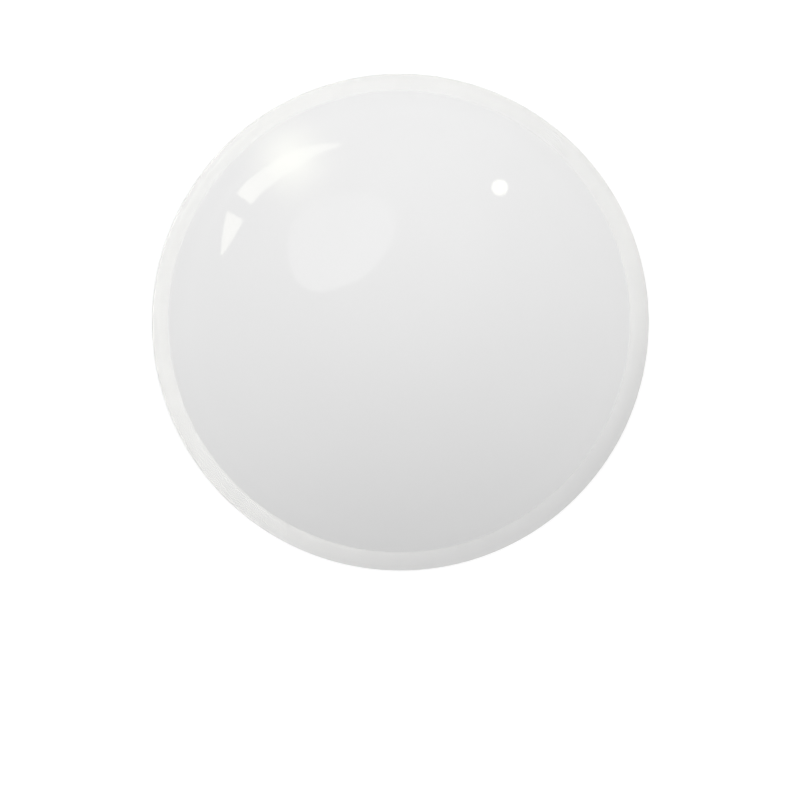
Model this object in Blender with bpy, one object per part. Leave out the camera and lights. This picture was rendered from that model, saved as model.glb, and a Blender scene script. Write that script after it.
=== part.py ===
"""A soft white costume contact lens, lying as it comes to rest: on its rim, front face up.

The lens is moulded in one piece, and its meridional section holds its whole shape: the
outline that a cut through the lens axis shows. The section is turned once round that axis,
which is +Z. The rim lies on z = 0, and sizes are in metres.
"""

import math

import bmesh
import bpy

# Outline
LENS_DIAMETER = 0.0145
CLEAR_RIM_WIDTH = 0.0005

# Back surface: the base curve fits the eye, and a flatter curve outside it lifts the edge
BASE_CURVE_RADIUS = 0.0086
EDGE_CURVE_RADIUS = 0.0120
EDGE_CURVE_WIDTH = 0.00075

# Wall: thin over the pupil, thickest at the carrier ring, thin again at the edge
FRONT_ZONE_DIAMETER = 0.0060
CENTRE_THICKNESS = 0.00008
CARRIER_THICKNESS = 0.00013
CARRIER_SETBACK = 0.0013
EDGE_THICKNESS = 0.00009
LAND_WIDTH = 0.00004

# Fineness of the mesh
TURN_STEPS = 84
WALL_STEP = math.radians(2.4)
NOSE_STEP = math.radians(35)
WELD_DISTANCE = 1e-7
SHARP_ANGLE = math.radians(50)

# Finishes: linear colour, roughness and opacity
WHITE_TINT = {"colour": (0.79, 0.79, 0.79, 1.0), "roughness": 0.12, "alpha": 1.0}
CLEAR_GEL = {"colour": (0.88, 0.88, 0.85, 1.0), "roughness": 0.08, "alpha": 0.7}
GEL_IOR = 1.42

LENS_RADIUS = LENS_DIAMETER / 2
NOSE_RADIUS = EDGE_THICKNESS / 2


def clear_scene():
    for item in list(bpy.data.objects):
        bpy.data.objects.remove(item, do_unlink=True)


def along(centre, radius, angle):
    """The point (distance from the axis, height) on an arc, at an angle from straight up."""
    return centre[0] + radius * math.sin(angle), centre[1] + radius * math.cos(angle)


class BackCurve:
    """The back surface in section: the base arc, centred at the frame's origin, and the edge
    arc, which leaves it in the same direction, so that the two meet with no ridge.

    A place on it is named by the angle between the surface's normal and the lens axis."""

    def __init__(self):
        self.join = math.asin((LENS_RADIUS - EDGE_CURVE_WIDTH) / BASE_CURVE_RADIUS)
        self.edge_centre = along((0, 0), BASE_CURVE_RADIUS - EDGE_CURVE_RADIUS, self.join)
        nose_reach = LENS_RADIUS - NOSE_RADIUS - self.edge_centre[0]
        self.end = math.asin(nose_reach / (EDGE_CURVE_RADIUS + NOSE_RADIUS))
        self.nose_centre = along(self.edge_centre, EDGE_CURVE_RADIUS + NOSE_RADIUS, self.end)

    def point(self, angle, offset=0.0):
        """The point at an angle, moved out along the normal by offset."""
        if angle <= self.join:
            return along((0, 0), BASE_CURVE_RADIUS + offset, angle)
        return along(self.edge_centre, EDGE_CURVE_RADIUS + offset, angle)

    def angle_at(self, radius):
        """The angle of the point at a distance from the axis."""
        angle = math.asin(radius / BASE_CURVE_RADIUS)
        if angle <= self.join:
            return angle
        return math.asin((radius - self.edge_centre[0]) / EDGE_CURVE_RADIUS)


def eased(start, end, share):
    """From start to end, level at both ends, as share goes from 0 to 1."""
    share = min(max(share, 0.0), 1.0)
    return start + (end - start) * share * share * (3 - 2 * share)


def wall_at(radius, back):
    """The wall's thickness at a distance from the axis."""
    front_zone = FRONT_ZONE_DIAMETER / 2
    carrier = LENS_RADIUS - CARRIER_SETBACK
    if radius <= carrier:
        share = (radius - front_zone) / (carrier - front_zone)
        return eased(CENTRE_THICKNESS, CARRIER_THICKNESS, share)
    share = (radius - carrier) / (back.point(back.end)[0] - carrier)
    return eased(CARRIER_THICKNESS, EDGE_THICKNESS, share)


def tint_edge(back):
    """The angle at which the front surface reaches the edge of the white tint."""
    radius = LENS_RADIUS - CLEAR_RIM_WIDTH
    return back.angle_at(radius - wall_at(radius, back) * math.sin(back.angle_at(radius)))


def stepped(start, end, step):
    """Angles from start to end, in even steps of at most step."""
    count = math.ceil((end - start) / step - 1e-9)
    return [start + (end - start) * i / count for i in range(count + 1)]


def wall_stations(start, end, back):
    """Angles from start to end, with one at each place in between where a curve changes."""
    changes = {
        back.join,
        back.angle_at(FRONT_ZONE_DIAMETER / 2),
        back.angle_at(LENS_RADIUS - CARRIER_SETBACK),
    }
    stops = [start, *sorted(a for a in changes if start < a < end), end]
    stations = [start]
    for near, far in zip(stops, stops[1:]):
        stations += stepped(near, far, WALL_STEP)[1:]
    return stations


def nose_outline(back):
    """The rounded edge, from its front end to its back end, with the flat land it lies on."""
    half_land = math.asin(LAND_WIDTH / 2 / NOSE_RADIUS)
    outer = stepped(back.end, math.pi - half_land, NOSE_STEP)
    inner = stepped(math.pi + half_land, math.pi + back.end, NOSE_STEP)
    return [along(back.nose_centre, NOSE_RADIUS, angle) for angle in outer + inner]


def section_parts():
    """The section as three open outlines from the back's middle to the front's middle:
    the tinted back, the clear rim and the tinted front. Each starts where the last ends."""
    back = BackCurve()
    tint_end = tint_edge(back)
    tinted = wall_stations(0.0, tint_end, back)
    clear = wall_stations(tint_end, back.end, back)
    land_height = back.nose_centre[1] - math.sqrt(NOSE_RADIUS**2 - (LAND_WIDTH / 2) ** 2)

    def back_side(angles):
        return [back.point(angle) for angle in angles]

    def front_side(angles):
        return [back.point(a, wall_at(back.point(a)[0], back)) for a in reversed(angles)]

    nose = nose_outline(back)
    rim = back_side(clear)[:-1] + nose[::-1] + front_side(clear)[1:]
    parts = {
        "tinted_back": back_side(tinted),
        "clear_rim": rim,
        "tinted_front": front_side(tinted),
    }
    return {
        name: [(radius, height - land_height) for radius, height in outline]
        for name, outline in parts.items()
    }


def turn(shape, outline, material_index):
    """Turn one open outline once round the lens axis, with one material on its faces."""
    before = set(shape.faces)
    corners = [shape.verts.new((radius, 0.0, height)) for radius, height in outline]
    edges = [shape.edges.new(pair) for pair in zip(corners, corners[1:])]
    bmesh.ops.spin(
        shape,
        geom=corners + edges,
        cent=(0.0, 0.0, 0.0),
        axis=(0.0, 0.0, 1.0),
        angle=math.tau,
        steps=TURN_STEPS,
        use_merge=True,
    )
    for face in set(shape.faces) - before:
        face.material_index = material_index


def finish(name, colour, roughness, alpha):
    material = bpy.data.materials.new(name)
    material.use_nodes = True
    shader = material.node_tree.nodes["Principled BSDF"]
    shader.inputs["Base Color"].default_value = colour
    shader.inputs["Roughness"].default_value = roughness
    shader.inputs["Metallic"].default_value = 0.0
    shader.inputs["IOR"].default_value = GEL_IOR
    shader.inputs["Alpha"].default_value = alpha
    return material


def make_lens():
    parts = section_parts()
    shape = bmesh.new()
    turn(shape, parts["tinted_back"], 0)
    turn(shape, parts["clear_rim"], 1)
    turn(shape, parts["tinted_front"], 0)
    bmesh.ops.remove_doubles(shape, verts=shape.verts[:], dist=WELD_DISTANCE)
    bmesh.ops.recalc_face_normals(shape, faces=shape.faces[:])
    mesh = bpy.data.meshes.new("contact_lens")
    shape.to_mesh(mesh)
    shape.free()
    mesh.shade_smooth()
    mesh.set_sharp_from_angle(angle=SHARP_ANGLE)
    mesh.materials.append(finish("white_tint", **WHITE_TINT))
    mesh.materials.append(finish("clear_gel", **CLEAR_GEL))
    lens = bpy.data.objects.new("contact_lens", mesh)
    bpy.context.scene.collection.objects.link(lens)
    return lens


clear_scene()
make_lens()
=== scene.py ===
"""The looks of a soft white costume contact lens that lies on its rim, front face up.

The lens is one turned shell. Its meridional section is worked out here with numpy from the
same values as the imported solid, turned round the lens axis, and finished as white pigment in
wet gel, inside a narrow rim of clear gel. Sizes are in metres, in the solid's frame: +Z is
the lens axis, and z = 0 is the floor that the rim lies on.
"""

import math

import bpy
import numpy as np
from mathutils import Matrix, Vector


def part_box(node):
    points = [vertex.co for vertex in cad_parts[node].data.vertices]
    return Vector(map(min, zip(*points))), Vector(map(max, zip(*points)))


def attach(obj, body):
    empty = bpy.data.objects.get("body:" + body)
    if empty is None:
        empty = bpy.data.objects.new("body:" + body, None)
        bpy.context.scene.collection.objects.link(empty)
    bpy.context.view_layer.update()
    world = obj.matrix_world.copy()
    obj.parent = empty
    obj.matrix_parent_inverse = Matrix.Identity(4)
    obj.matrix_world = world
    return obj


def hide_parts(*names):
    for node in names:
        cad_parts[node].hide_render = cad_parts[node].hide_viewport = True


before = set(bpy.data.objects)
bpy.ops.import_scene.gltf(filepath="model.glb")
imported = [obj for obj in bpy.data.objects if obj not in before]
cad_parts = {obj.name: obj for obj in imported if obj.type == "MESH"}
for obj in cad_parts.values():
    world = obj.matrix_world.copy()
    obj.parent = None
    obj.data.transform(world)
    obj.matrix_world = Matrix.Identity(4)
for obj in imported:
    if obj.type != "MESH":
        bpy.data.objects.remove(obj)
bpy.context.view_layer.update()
LENS_LOW, LENS_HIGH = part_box("contact_lens")

# The shell, as the solid has it
LENS_RADIUS = (LENS_HIGH[0] - LENS_LOW[0]) / 2
BASE_CURVE_RADIUS = 8.6e-3
EDGE_CURVE_RADIUS = 12.0e-3
EDGE_CURVE_WIDTH = 0.75e-3
FRONT_ZONE_RADIUS = 3.0e-3
CARRIER_SETBACK = 1.3e-3
CENTRE_WALL = 0.08e-3
CARRIER_WALL = 0.13e-3
EDGE_WALL = 0.09e-3
LAND_WIDTH = 0.04e-3
CLEAR_RIM_WIDTH = 0.5e-3

# Fineness of the turned shell
WALL_ROWS = 72
NOSE_ROWS = 18
TURN_COLUMNS = 256

# The photograph's frame, in pixels from its upper left corner
PHOTO_SIDE = 800
LENS_CENTRE_PX = (400.3, 322.05)
LENS_RADIUS_PX = 248.5

# The camera: a long lens, straight above
FOCAL_LENGTH_MM = 400.0
SENSOR_MM = 36.0
CAMERA_NEAR = 0.001
CAMERA_FAR = 10.0

# Light: an even sky, a broad lamp from the upper left of the picture and one from the upper
# right. A lamp leans from straight up towards the top of the picture, then turns to its left,
# each by so many degrees, and the lamps' spread is in degrees too.
SKY = 0.634
LAMPS = {
    "left_lamp": {"strength": 0.328, "lean": 50, "turn": 60},
    "right_lamp": {"strength": 0.275, "lean": 60, "turn": -60},
}
LAMP_SPREAD = 60

# The floor, and the light of its own that lifts it to white
FLOOR_WHITE = (0.8, 0.8, 0.8)
FLOOR_LIFT = 0.39
FLOOR_HALF_SIDE = 0.5
FLOOR_DEPTH = 2e-6

# Finishes: linear colours, and how much of what is behind it one face of the rim hides
FRONT_WHITE = (0.80, 0.80, 0.80)
BACK_WHITE = (0.776, 0.776, 0.776)
FRONT_ROUGHNESS = 0.045
BACK_ROUGHNESS = 0.10
GEL_TINT_INSIDE = (0.93, 0.93, 0.925)
# The rim's gel greys to this tint towards the lens's edge: painted shade, not the gel's own colour
GEL_TINT_PAINTED_EDGE_SHADE = (0.57, 0.57, 0.565)
GEL_IOR = 1.42
RIM_OPACITY = 0.25

# The print: its circle lies a little off the lens axis, and ends further in than the clear
# rim's width by a setback. Its edge ripples and feathers, and its white is darkened by a share
# in a band inside the edge, which is painted shade.
PRINT_OFF_CENTRE = (-0.036e-3, 0.018e-3, 0.0)
FRONT_PRINT_SETBACK = 0.032e-3
BACK_PRINT_SETBACK = 0.18e-3
PRINT_FEATHER = 0.003e-3
PRINT_RIPPLE = 0.004e-3
PRINT_FADE_WIDTH = 0.75e-3
PRINT_EDGE_PAINTED_SHADE = -0.015

# Unevenness: each noise's waves to a metre and its detail, and how far it changes a finish
RIPPLE_NOISE = (2500.0, 2.0)
CLOUD_NOISE = (450.0, 3.0)
GRAIN_NOISE = (9000.0, 2.0)
FILM_NOISE = (900.0, 2.0)
CLOUD_DEPTH = 0.02
GRAIN_DEPTH = 0.012
FILM_DEPTH = 0.02

# Studio cards, which only the wet surface mirrors. Outlines are where each reflection shows
# in the photograph, in pixels; a light of 1 is as bright as the white studio round them. A
# feather is a share of the card's own size.
CARD_DISTANCE = 0.12
CARD_LIFT = 0.01e-3
RIM_CARD_LIFT = 0.02e-3
STREAK_OUTER = [
    (236.9, 194.3),
    (245.9, 182.3),
    (262.0, 169.5),
    (278.8, 158.1),
    (297.8, 149.2),
    (317.8, 144.1),
    (340.3, 142.9),
]
STREAK_INNER = [
    (251.7, 204.1),
    (258.3, 196.1),
    (272.2, 184.1),
    (287.8, 173.2),
    (302.8, 164.7),
    (318.8, 153.5),
    (340.3, 146.3),
]
STREAK_LIGHT = (3.5, 3.15, 1.85, 0.8, 0.75, 1.8, 2.1)
STREAK_FEATHER = 0.1
SPIKE_LEFT = [(227.1, 211.6), (223.9, 225.5), (221.9, 240.0), (220.9, 255.0)]
SPIKE_RIGHT = [(243.5, 219.7), (236.9, 232.9), (228.5, 246.4), (221.9, 255.9)]
SPIKE_LIGHT = (3.1, 3.5, 3.5, 3.9)
SPIKE_FEATHER = 0.12
PATCH_CENTRE = (341.0, 243.0)
PATCH_OUTLINE = [
    (300.0, 211.5),
    (318.0, 199.0),
    (345.0, 193.0),
    (371.0, 194.5),
    (388.5, 206.0),
    (396.0, 227.0),
    (388.5, 249.0),
    (367.5, 274.0),
    (340.0, 287.5),
    (315.0, 291.5),
    (297.0, 281.5),
    (288.5, 258.0),
    (289.0, 232.0),
]
PATCH_LIGHT = (0.5, 1.5)
PATCH_FEATHER = 0.05
GLOW_CENTRE = (291.3, 161.5)
GLOW_SPREAD_PX = 20.3
GLOW_REACH = 3.0
GLOW_LIGHT = 3.75
DOT_CENTRE = (499.9, 187.5)
DOT_RADIUS_PX = 8.2
DOT_LIGHT = (5.8, 5.8)
DOT_FEATHER = 0.12

# The rim's card by rows: the radius in pixels, the gain, and the gain where the light gathers
# towards the print
RIM_CARD_ROWS = [
    (230.0, 0.0, 0.0),
    (232.0, 0.9, 2.2),
    (234.2, 1.2, 2.5),
    (236.5, 1.15, 1.8),
    (240.0, 1.1, 1.0),
    (243.0, 1.5, 0.7),
    (245.4, 2.1, 0.5),
    (247.1, 2.8, 0.3),
    (248.1, 4.8, 0.3),
]

# The rim's card by stops round it: degrees counter-clockwise from the picture's right, the
# light, and how far it gathers towards the print, from 0 to 1
RIM_CARD_STOPS = [
    (0, 2.9, 0.4),
    (20, 3.4, 0.15),
    (60, 2.6, 0.0),
    (90, 2.8, 0.0),
    (120, 3.9, 0.0),
    (150, 4.2, 0.0),
    (180, 4.6, 0.0),
    (225, 4.3, 0.22),
    (240, 3.5, 0.32),
    (250, 2.6, 0.55),
    (270, 1.1, 1.0),
    (290, 0.5, 1.0),
    (325, 0.0, 1.0),
    (345, 1.3, 0.7),
]

# The cards' colours
CARD_WHITE = (1.0, 1.0, 1.0)
CARD_CREAM = (1.0, 1.0, 0.85)
CARD_PALE_CREAM = (1.0, 1.0, 0.92)
CARD_YELLOW = (0.98, 1.0, 0.74)

# Fineness of the cards, and of the search for the place that each one shows
STRIP_COLUMNS = 41
DISC_COLUMNS = 49
PATCH_COLUMNS = 79
RIM_COLUMNS = 145
GLOW_ROWS = 19
SURFACE_TURNS = 12
LEAST_DESCENT = 1e-6


def arc(centre, radius, angle):
    """Points on a circle about centre, at angles from straight up, as (radius, height)."""
    return centre[0] + radius * np.sin(angle), centre[1] + radius * np.cos(angle)


def eased(start, end, share):
    """From start to end as share goes from 0 to 1, by 3 s^2 - 2 s^3: level at both ends."""
    share = np.clip(share, 0.0, 1.0)
    return start + (end - start) * share * share * (3 - 2 * share)


# The base arc is centred at the solid's own origin; the edge arc leaves it in the same
# direction, and the rounded nose rolls off the edge arc's end
NOSE_RADIUS = EDGE_WALL / 2
JOIN_ANGLE = math.asin((LENS_RADIUS - EDGE_CURVE_WIDTH) / BASE_CURVE_RADIUS)
EDGE_CENTRE = arc((0.0, 0.0), BASE_CURVE_RADIUS - EDGE_CURVE_RADIUS, JOIN_ANGLE)
NOSE_ORBIT = EDGE_CURVE_RADIUS + NOSE_RADIUS
END_ANGLE = math.asin((LENS_RADIUS - NOSE_RADIUS - EDGE_CENTRE[0]) / NOSE_ORBIT)
NOSE_CENTRE = arc(EDGE_CENTRE, NOSE_ORBIT, END_ANGLE)
LAND_HEIGHT = NOSE_CENTRE[1] - math.sqrt(NOSE_RADIUS**2 - (LAND_WIDTH / 2) ** 2)


def shell_curve(angle, offset=0.0):
    """The base arc as far as the join, then the flatter edge arc, each point moved out along
    its normal by offset. The angle is the one between the normal and the lens axis."""
    on_base = angle <= JOIN_ANGLE
    centre = np.where(on_base, 0.0, EDGE_CENTRE[0]), np.where(on_base, 0.0, EDGE_CENTRE[1])
    return arc(centre, np.where(on_base, BASE_CURVE_RADIUS, EDGE_CURVE_RADIUS) + offset, angle)


def wall_at(radius):
    """The wall at a distance from the axis: even over the front zone, eased up to the carrier
    ring, and eased down again to the edge."""
    carrier = LENS_RADIUS - CARRIER_SETBACK
    edge = shell_curve(np.array(END_ANGLE))[0]
    rise = (radius - FRONT_ZONE_RADIUS) / (carrier - FRONT_ZONE_RADIUS)
    fall = (radius - carrier) / (edge - carrier)
    risen = eased(CENTRE_WALL, CARRIER_WALL, rise)
    return np.where(radius <= carrier, risen, eased(CARRIER_WALL, EDGE_WALL, fall))


def back_outline():
    """The back surface in section, from the axis out."""
    radius, height = shell_curve(np.linspace(0.0, END_ANGLE, WALL_ROWS + 1))
    return radius, height - LAND_HEIGHT


def front_outline():
    """The front surface in section, from the axis out: the back moved out by the wall."""
    angles = np.linspace(0.0, END_ANGLE, WALL_ROWS + 1)
    radius, height = shell_curve(angles, wall_at(shell_curve(angles)[0]))
    return radius, height - LAND_HEIGHT


def nose_outline():
    """The rounded edge from back to front: half a circle, level where it lies on the floor."""
    angles = np.linspace(math.pi + END_ANGLE, END_ANGLE, NOSE_ROWS + 1)[1:-1]
    radius, height = arc(NOSE_CENTRE, NOSE_RADIUS, angles)
    return radius, np.maximum(height - LAND_HEIGHT, 0.0)


def grid_faces(rows, columns, first=0, closed=False):
    """Quads between the neighbouring rows of a grid of points, numbered row by row. Closed
    columns run round to the first again."""
    row = first + np.arange(rows - 1)[:, None] * columns
    column = np.arange(columns if closed else columns - 1)[None, :]
    after = (column + 1) % columns
    corners = [row + column, row + after, row + columns + after, row + columns + column]
    return np.stack(corners, axis=-1).reshape(-1, 4)


def mesh_object(name, points, face_groups, materials, face_materials=None):
    """An object at the origin from an array of points and arrays of triangles or quads."""
    mesh = bpy.data.meshes.new(name)
    corners = np.concatenate([faces.reshape(-1) for faces in face_groups])
    sizes = np.concatenate([np.full(len(faces), faces.shape[1]) for faces in face_groups])
    mesh.vertices.add(len(points))
    mesh.vertices.foreach_set("co", np.asarray(points, np.float32).reshape(-1))
    mesh.loops.add(len(corners))
    mesh.loops.foreach_set("vertex_index", corners.astype(np.int32))
    mesh.polygons.add(len(sizes))
    mesh.polygons.foreach_set("loop_start", (np.cumsum(sizes) - sizes).astype(np.int32))
    if face_materials is not None:
        mesh.polygons.foreach_set("material_index", face_materials.astype(np.int32))
    mesh.update(calc_edges=True)
    mesh.shade_smooth()
    for material in materials:
        mesh.materials.append(material)
    made = bpy.data.objects.new(name, mesh)
    bpy.context.scene.collection.objects.link(made)
    return made


def turned_shell():
    """The section turned round the lens axis: x = r cos t, y = r sin t, with one point at
    each pole. Rows run from the back's middle, round the nose, to the front's middle. Returns
    the points, the faces, and whether each face is on the back."""
    back, nose, front = back_outline(), nose_outline(), front_outline()
    radius, height = (np.concatenate([back[i][1:], nose[i], front[i][:0:-1]]) for i in (0, 1))
    turn = np.arange(TURN_COLUMNS) * math.tau / TURN_COLUMNS
    x, y = radius[:, None] * np.cos(turn), radius[:, None] * np.sin(turn)
    rings = np.stack([x, y, np.broadcast_to(height[:, None], x.shape)], axis=-1)
    poles = [[0.0, 0.0, back[1][0]], [0.0, 0.0, front[1][0]]]
    points = np.concatenate([poles, rings.reshape(-1, 3)])

    quads = grid_faces(len(radius), TURN_COLUMNS, first=len(poles), closed=True)
    column = np.arange(TURN_COLUMNS)
    after = (column + 1) % TURN_COLUMNS
    first, last = len(poles), len(points) - TURN_COLUMNS
    back_fan = np.stack([0 * column, first + after, first + column], axis=-1)
    front_fan = np.stack([0 * column + 1, last + column, last + after], axis=-1)
    back_quads = np.arange(len(quads)) < (WALL_ROWS - 1) * TURN_COLUMNS
    on_back = np.concatenate([back_quads, np.ones(TURN_COLUMNS), np.zeros(TURN_COLUMNS)])
    return points, [quads, back_fan, front_fan], on_back


def node(tree, kind, inputs=None, **settings):
    """A new node with its settings, and each named input set to a value or linked."""
    made = tree.nodes.new(kind)
    for name, value in settings.items():
        setattr(made, name, value)
    for name, value in (inputs or {}).items():
        if isinstance(value, bpy.types.NodeSocket):
            tree.links.new(value, made.inputs[name])
        else:
            made.inputs[name].default_value = value
    return made


def math_node(tree, operation, *values):
    """The result of a Math node on one, two or three values or sockets."""
    return node(tree, "ShaderNodeMath", dict(enumerate(values)), operation=operation).outputs[0]


def ramp(tree, value, low, high, at_low, at_high, smooth=False):
    """From at_low to at_high as the value goes from low to high, and level beyond."""
    kind = "SMOOTHSTEP" if smooth else "LINEAR"
    inputs = {"Value": value, "From Min": low, "From Max": high}
    inputs.update({"To Min": at_low, "To Max": at_high})
    return node(tree, "ShaderNodeMapRange", inputs, interpolation_type=kind).outputs["Result"]


def noise(tree, place, scale, detail):
    """A noise about 0, with so many waves a metre."""
    made = node(tree, "ShaderNodeTexNoise", {"Vector": place, "Scale": scale, "Detail": detail})
    return math_node(tree, "SUBTRACT", made.outputs["Fac"], 0.5)


def mixed(tree, share, colour, other):
    """A colour at a share of 0, the other one at a share of 1, and a mix between. Inputs 6
    and 7 and output 2 are the node's sockets for colours."""
    inputs = {"Factor": share, 6: colour, 7: other}
    return node(tree, "ShaderNodeMix", inputs, data_type="RGBA").outputs[2]


def empty_material(name):
    """A material with no nodes in it yet, and its node tree."""
    material = bpy.data.materials.new(name)
    material.use_nodes = True
    material.node_tree.nodes.clear()
    return material, material.node_tree


def new_group(name, inputs, outputs):
    """An empty shader node group that takes a place and named values, and gives values."""
    tree = bpy.data.node_groups.new(name, "ShaderNodeTree")
    tree.interface.new_socket("Place", in_out="INPUT", socket_type="NodeSocketVector")
    for label in inputs:
        tree.interface.new_socket(label, in_out="INPUT", socket_type="NodeSocketFloat")
    for label in outputs:
        tree.interface.new_socket(label, in_out="OUTPUT", socket_type="NodeSocketFloat")
    return tree, tree.nodes.new("NodeGroupInput").outputs, tree.nodes.new("NodeGroupOutput").inputs


def print_zone_group():
    """Where the pigment is, from the distance to the print's own axis with a fine ripple
    added. Pigment eases from 1 to 0 over the feather's width as far as the print's edge.
    The second output eases from 0 to 1 across the fade's width inside the edge, where the
    print's white is darkened as painted shade. Outward goes from 0 at the edge to 1 across the
    clear rim, where the rim's gel greys as painted shade."""
    inputs = ["Edge", "Feather", "Ripple", "Fade Width", "Rim Width"]
    tree, given, put = new_group("print_zone", inputs, ["Pigment", "Painted Edge Shade", "Outward"])
    across = {0: given["Place"], 1: (1, 1, 0)}
    flat = node(tree, "ShaderNodeVectorMath", across, operation="MULTIPLY").outputs[0]
    distance = node(tree, "ShaderNodeVectorMath", {0: flat}, operation="LENGTH").outputs["Value"]
    ripple = noise(tree, given["Place"], *RIPPLE_NOISE)
    rippled = math_node(tree, "MULTIPLY_ADD", ripple, given["Ripple"], distance)
    past = math_node(tree, "SUBTRACT", rippled, given["Edge"])
    in_feather = math_node(tree, "DIVIDE", past, given["Feather"])
    pigment = ramp(tree, in_feather, -1.0, 0.0, 1.0, 0.0, smooth=True)
    # The band inside the print's edge where its white is darkened: painted shade
    in_fade = math_node(tree, "DIVIDE", past, given["Fade Width"])
    painted_edge_shade = ramp(tree, in_fade, -1.0, 0.0, 0.0, 1.0, smooth=True)
    tree.links.new(pigment, put["Pigment"])
    tree.links.new(painted_edge_shade, put["Painted Edge Shade"])
    tree.links.new(ramp(tree, past, 0.0, given["Rim Width"], 0.0, 1.0), put["Outward"])
    return tree


def gel_cloud_group():
    """How uneven the lens is, each about 0. Tone says how densely the pigment lies: a slow
    cloud and a fine grain. Film says how the wet film varies."""
    tree, given, put = new_group("gel_cloud", ["Cloud", "Grain"], ["Tone", "Film"])
    cloud = noise(tree, given["Place"], *CLOUD_NOISE)
    grain = noise(tree, given["Place"], *GRAIN_NOISE)
    clouded = math_node(tree, "MULTIPLY", cloud, given["Cloud"])
    tree.links.new(math_node(tree, "MULTIPLY_ADD", grain, given["Grain"], clouded), put["Tone"])
    tree.links.new(noise(tree, given["Place"], *FILM_NOISE), put["Film"])
    return tree


def gel_material(name, groups, pigment, roughness, rim_width):
    """White pigment in wet gel as far as the print's edge, then clear gel with a warm tint,
    which greys towards the lens's edge as painted shade. Just inside the print's edge the white
    is a little darker, also painted shade. The pigment hides what is behind it, and the clear
    rim mostly doesn't."""
    material, tree = empty_material(name)
    place = node(tree, "ShaderNodeTexCoord").outputs["Object"]
    off_centre = {0: place, 1: PRINT_OFF_CENTRE}
    print_place = node(tree, "ShaderNodeVectorMath", off_centre, operation="SUBTRACT").outputs[0]
    zone_inputs = {
        "Place": print_place,
        "Edge": LENS_RADIUS - rim_width,
        "Feather": PRINT_FEATHER,
        "Ripple": PRINT_RIPPLE,
        "Fade Width": PRINT_FADE_WIDTH,
        "Rim Width": rim_width,
    }
    cloud_inputs = {"Place": place, "Cloud": CLOUD_DEPTH, "Grain": GRAIN_DEPTH}
    zone = node(tree, "ShaderNodeGroup", zone_inputs, node_tree=groups["print_zone"]).outputs
    cloud = node(tree, "ShaderNodeGroup", cloud_inputs, node_tree=groups["gel_cloud"]).outputs
    even = math_node(tree, "ADD", cloud["Tone"], 1.0)
    # The white, darkened in the band inside the print's edge as painted shade
    shade = math_node(tree, "MULTIPLY_ADD", zone["Painted Edge Shade"], PRINT_EDGE_PAINTED_SHADE, even)
    white = node(tree, "ShaderNodeVectorMath", {0: pigment, "Scale": shade}, operation="SCALE")
    # The clear rim's tint greys outwards: painted shade of its rounded edge
    gel = mixed(tree, zone["Outward"], (*GEL_TINT_INSIDE, 1.0), (*GEL_TINT_PAINTED_EDGE_SHADE, 1.0))
    shader = node(
        tree,
        "ShaderNodeBsdfPrincipled",
        {
            "Base Color": mixed(tree, zone["Pigment"], gel, white.outputs[0]),
            "Roughness": math_node(tree, "MULTIPLY_ADD", cloud["Film"], FILM_DEPTH, roughness),
            "Alpha": ramp(tree, zone["Pigment"], 0.0, 1.0, RIM_OPACITY, 1.0),
            "Metallic": 0.0,
            "IOR": GEL_IOR,
        },
    )
    node(tree, "ShaderNodeOutputMaterial", {"Surface": shader.outputs[0]})
    return material


def make_lens():
    """The turned shell with the print's finish on the front and on the back."""
    groups = {"print_zone": print_zone_group(), "gel_cloud": gel_cloud_group()}
    front_rim = CLEAR_RIM_WIDTH + FRONT_PRINT_SETBACK
    back_rim = CLEAR_RIM_WIDTH + BACK_PRINT_SETBACK
    front = gel_material("white_print_front", groups, FRONT_WHITE, FRONT_ROUGHNESS, front_rim)
    back = gel_material("white_print_back", groups, BACK_WHITE, BACK_ROUGHNESS, back_rim)
    points, faces, on_back = turned_shell()
    lens = mesh_object("soft_lens", points, faces, [front, back], on_back)
    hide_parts("contact_lens")
    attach(lens, "root")


# The camera stands where the outline, at the nose's height, takes up its radius in pixels
PIXELS_PER_SLOPE = PHOTO_SIDE * FOCAL_LENGTH_MM / SENSOR_MM
METRES_PER_PIXEL = LENS_RADIUS / LENS_RADIUS_PX
CAMERA_PLACE = np.array(
    [
        (PHOTO_SIDE / 2 - LENS_CENTRE_PX[0]) * METRES_PER_PIXEL,
        (LENS_CENTRE_PX[1] - PHOTO_SIDE / 2) * METRES_PER_PIXEL,
        METRES_PER_PIXEL * PIXELS_PER_SLOPE + NOSE_CENTRE[1] - LAND_HEIGHT,
    ]
)


def make_camera():
    """Looks straight down, with the lens above the middle of its picture."""
    data = bpy.data.cameras.new("camera")
    data.lens = FOCAL_LENGTH_MM
    data.sensor_width = SENSOR_MM
    data.clip_start = CAMERA_NEAR
    data.clip_end = CAMERA_FAR
    camera = bpy.data.objects.new("camera", data)
    camera.location = CAMERA_PLACE
    bpy.context.scene.collection.objects.link(camera)
    bpy.context.scene.camera = camera


def seen_point(pixels):
    """Where the front surface shows at each pixel, and its normal there: the camera's ray is
    cut at the surface's height, and the height is read again where the cut lies, in turns."""
    radii, heights = front_outline()
    slopes = np.gradient(heights, radii)
    half = PHOTO_SIDE / 2
    slope = np.stack([pixels[..., 0] - half, half - pixels[..., 1]], axis=-1) / PIXELS_PER_SLOPE
    height = np.full(pixels.shape[:-1], heights[0])
    for _ in range(SURFACE_TURNS):
        flat = CAMERA_PLACE[:2] + slope * (CAMERA_PLACE[2] - height)[..., None]
        radius = np.linalg.norm(flat, axis=-1)
        height = np.interp(radius, radii, heights)
    tilt = -np.interp(radius, radii, slopes) / radius
    normal = np.concatenate([flat * tilt[..., None], np.ones_like(height)[..., None]], axis=-1)
    point = np.concatenate([flat, height[..., None]], axis=-1)
    return point, normal / np.linalg.norm(normal, axis=-1, keepdims=True)


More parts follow.
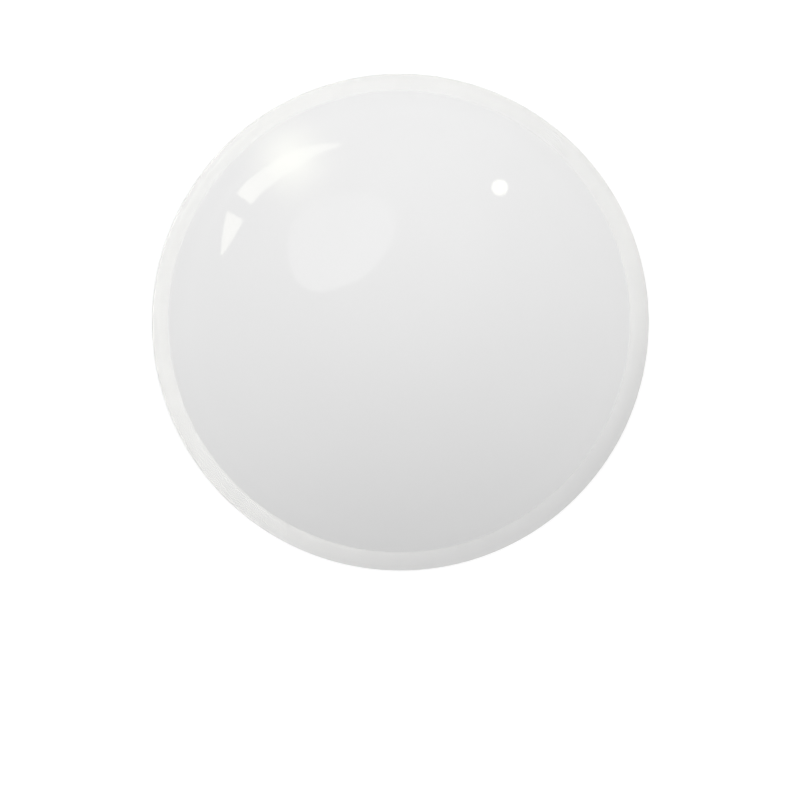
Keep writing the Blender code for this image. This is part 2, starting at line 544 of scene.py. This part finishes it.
def mirrored_place(pixels, lift):
    """The place of what the wet surface mirrors at each pixel: from the point seen there
    along 2 (n . v) n - v, where v points to the camera, for the cards' distance, or only as
    far as a lift above the floor where that is nearer."""
    point, normal = seen_point(pixels)
    view = CAMERA_PLACE - point
    view /= np.linalg.norm(view, axis=-1, keepdims=True)
    mirrored = 2 * (normal * view).sum(axis=-1, keepdims=True) * normal - view
    descent = np.maximum(-mirrored[..., 2:], LEAST_DESCENT)
    return point + mirrored * np.minimum((point[..., 2:] - lift) / descent, CARD_DISTANCE)


def smooth_curve(stops, count, closed=False):
    """Count points on a smooth curve through the stops. The span between two stops is a cubic
    whose slope at each of them is half the step from the stop before it to the one after. An
    open curve is carried on straight by one more stop at each end."""
    stops = np.asarray(stops, float)
    if closed:
        padded = np.concatenate([stops[-1:], stops, stops[:2]])
    else:
        padded = np.concatenate([2 * stops[:1] - stops[1:2], stops, 2 * stops[-1:] - stops[-2:-1]])
    spans = len(padded) - 3
    share = np.linspace(0, spans, count)
    span = np.minimum(share.astype(int), spans - 1)
    t = (share - span)[:, None]
    a, b, c, d = (padded[span + i] for i in range(4))
    squared, cubed = 2 * a - 5 * b + 4 * c - d, 3 * b - a - 3 * c + d
    return 0.5 * (2 * b + (c - a) * t + squared * t**2 + cubed * t**3)


def circle(centre, radius, count=DISC_COLUMNS):
    """Pixels round a circle, counter-clockwise from its right-hand side and back to it."""
    angle = np.linspace(0, math.tau, count)
    return np.array(centre) + radius * np.stack([np.cos(angle), -np.sin(angle)], axis=-1)


def card_material(name, colour):
    """Adds light to what is behind the card, as much as its own attribute says."""
    material, tree = empty_material(name)
    light = node(tree, "ShaderNodeAttribute", attribute_name="light").outputs["Fac"]
    lit = node(tree, "ShaderNodeEmission", {"Color": (*colour, 1.0), "Strength": light})
    clear = node(tree, "ShaderNodeBsdfTransparent")
    both = node(tree, "ShaderNodeAddShader", {0: lit.outputs[0], 1: clear.outputs[0]})
    node(tree, "ShaderNodeOutputMaterial", {"Surface": both.outputs[0]})
    return material


def light_card(name, pixels, light, colour, lift=CARD_LIFT):
    """A card whose mirror image in the lens covers a grid of pixels, with a light for each
    of them. Only reflections show it."""
    places = mirrored_place(pixels, lift).reshape(-1, 3)
    faces = grid_faces(*pixels.shape[:2])
    card = mesh_object(name, places, [faces], [card_material(name, colour)])
    attribute = card.data.attributes.new("light", "FLOAT", "POINT")
    attribute.data.foreach_set("value", np.asarray(light, np.float32).reshape(-1))
    card.visible_camera = False
    card.visible_diffuse = False
    card.visible_transmission = False
    card.visible_shadow = False


def strip_card(name, one_edge, other_edge, light, feather, colour):
    """A card between the two edges of a reflection, with its light at each of their stops,
    and faded across each edge over the feather, a share of the width."""
    across = np.array([-feather / 2, feather / 2, 1 - feather / 2, 1 + feather / 2])
    fade = np.array([0.0, 1.0, 1.0, 0.0])
    one, other = smooth_curve(one_edge, STRIP_COLUMNS), smooth_curve(other_edge, STRIP_COLUMNS)
    pixels = one + (other - one) * across[:, None, None]
    along = np.interp(np.linspace(0, 1, STRIP_COLUMNS), np.linspace(0, 1, len(light)), light)
    light_card(name, pixels, fade[:, None] * along, colour)


def filled_card(name, centre, outline, light, feather, colour):
    """A card that fills an outline, with its light at the top and at the bottom, and faded
    across the outline over the feather, a share of its size."""
    rings = np.array([0.0, 1 - feather / 2, 1 + feather / 2])
    fade = np.array([1.0, 1.0, 0.0])
    pixels = centre + (outline - centre) * rings[:, None, None]
    down = np.interp(pixels[..., 1], (outline[:, 1].min(), outline[:, 1].max()), light)
    light_card(name, pixels, fade[:, None] * down, colour)


def glow_card(name, centre, spread, light, colour):
    """A round card whose light falls off as exp(-d^2 / 2), with d in spreads, less the value
    at the card's edge, so that it ends at none."""
    rings = np.linspace(0.0, GLOW_REACH, GLOW_ROWS)
    fall = np.exp(-(rings**2) / 2) - math.exp(-(GLOW_REACH**2) / 2)
    pixels = centre + (circle(centre, spread) - centre) * rings[:, None, None]
    light_card(name, pixels, light * fall[:, None] * np.ones(pixels.shape[1]), colour)


def rim_card(name, rows, stops, colour):
    """A ring that the clear rim mirrors, on the floor round the lens. Its rows are circles
    whose centres go from the print's own, inside, to the lens's, outside. Its light at an
    angle is multiplied by each row's gain, which goes from the plain one to the gathered one
    as the stops say."""
    angle, light, gathering = np.array(stops, float).T
    radii, plain, gathered = np.array(rows).T
    off_centre = np.array([PRINT_OFF_CENTRE[0], -PRINT_OFF_CENTRE[1]]) / METRES_PER_PIXEL
    centres = LENS_CENTRE_PX + off_centre * ((radii[-1] - radii) / (radii[-1] - radii[0]))[:, None]
    rings = [circle(centre, radius, RIM_COLUMNS) for centre, radius in zip(centres, radii)]
    around = np.linspace(0.0, 360.0, RIM_COLUMNS)
    lights = np.interp(around, angle, light, period=360.0)
    shares = np.interp(around, angle, gathering, period=360.0)
    gains = plain[:, None] + (gathered - plain)[:, None] * shares
    light_card(name, np.stack(rings), lights * gains, colour, lift=RIM_CARD_LIFT)


def make_cards():
    """The cards of the streak, the spike, the patch, the dot, the glow and the rim's light."""
    strip_card("streak_card", STREAK_OUTER, STREAK_INNER, STREAK_LIGHT, STREAK_FEATHER, CARD_CREAM)
    strip_card("spike_card", SPIKE_LEFT, SPIKE_RIGHT, SPIKE_LIGHT, SPIKE_FEATHER, CARD_CREAM)
    patch = smooth_curve(PATCH_OUTLINE, PATCH_COLUMNS, closed=True)
    filled_card("patch_card", PATCH_CENTRE, patch, PATCH_LIGHT, PATCH_FEATHER, CARD_WHITE)
    dot = circle(DOT_CENTRE, DOT_RADIUS_PX)
    filled_card("dot_card", DOT_CENTRE, dot, DOT_LIGHT, DOT_FEATHER, CARD_CREAM)
    glow_card("glow_card", GLOW_CENTRE, GLOW_SPREAD_PX, GLOW_LIGHT, CARD_YELLOW)
    rim_card("rim_card", RIM_CARD_ROWS, RIM_CARD_STOPS, CARD_PALE_CREAM)


def shown_rays(tree):
    """1 for rays from the camera, mirrors and clear gel, which meet plain white."""
    path = node(tree, "ShaderNodeLightPath").outputs
    seen = math_node(tree, "MAXIMUM", path["Is Camera Ray"], path["Is Glossy Ray"])
    return math_node(tree, "MAXIMUM", seen, path["Is Transmission Ray"])


def make_sky():
    """An even white sky, which shows as plain white and lights the lens with its strength."""
    world = bpy.data.worlds.new("even_sky")
    world.use_nodes = True
    tree = world.node_tree
    tree.nodes.clear()
    strength = ramp(tree, shown_rays(tree), 0.0, 1.0, SKY, 1.0)
    sky = node(tree, "ShaderNodeBackground", {"Color": (1, 1, 1, 1), "Strength": strength})
    node(tree, "ShaderNodeOutputWorld", {"Surface": sky.outputs[0]})
    bpy.context.scene.world = world


def make_floor():
    """A white floor, a hair below the rim, lifted to plain white where nothing shades it."""
    material, tree = empty_material("floor_white")
    white = node(tree, "ShaderNodeBsdfDiffuse", {"Color": (*FLOOR_WHITE, 1.0)})
    lift = math_node(tree, "MULTIPLY", shown_rays(tree), FLOOR_LIFT)
    lifted = node(tree, "ShaderNodeEmission", {"Strength": lift})
    both = node(tree, "ShaderNodeAddShader", {0: white.outputs[0], 1: lifted.outputs[0]})
    node(tree, "ShaderNodeOutputMaterial", {"Surface": both.outputs[0]})
    low, high, depth = -FLOOR_HALF_SIDE, FLOOR_HALF_SIDE, -FLOOR_DEPTH
    corners = [[low, low, depth], [high, low, depth], [high, high, depth], [low, high, depth]]
    floor = mesh_object("floor", corners, [np.array([[0, 1, 2, 3]])], [material])


def make_lamps():
    """Broad lamps far off, which light softly and leave no image of themselves. A surface
    that faces one gets about the light that a sky of the lamp's strength would give it."""
    for name, lamp in LAMPS.items():
        data = bpy.data.lights.new(name, "SUN")
        data.energy = math.pi * lamp["strength"]
        data.angle = math.radians(LAMP_SPREAD)
        made = bpy.data.objects.new(name, data)
        made.rotation_euler = (-math.radians(lamp["lean"]), 0.0, math.radians(lamp["turn"]))
        made.visible_glossy = False
        bpy.context.scene.collection.objects.link(made)


make_camera()
make_sky()
make_floor()
make_lamps()
make_cards()
make_lens()
bpy.context.scene.view_settings.view_transform = "Standard"
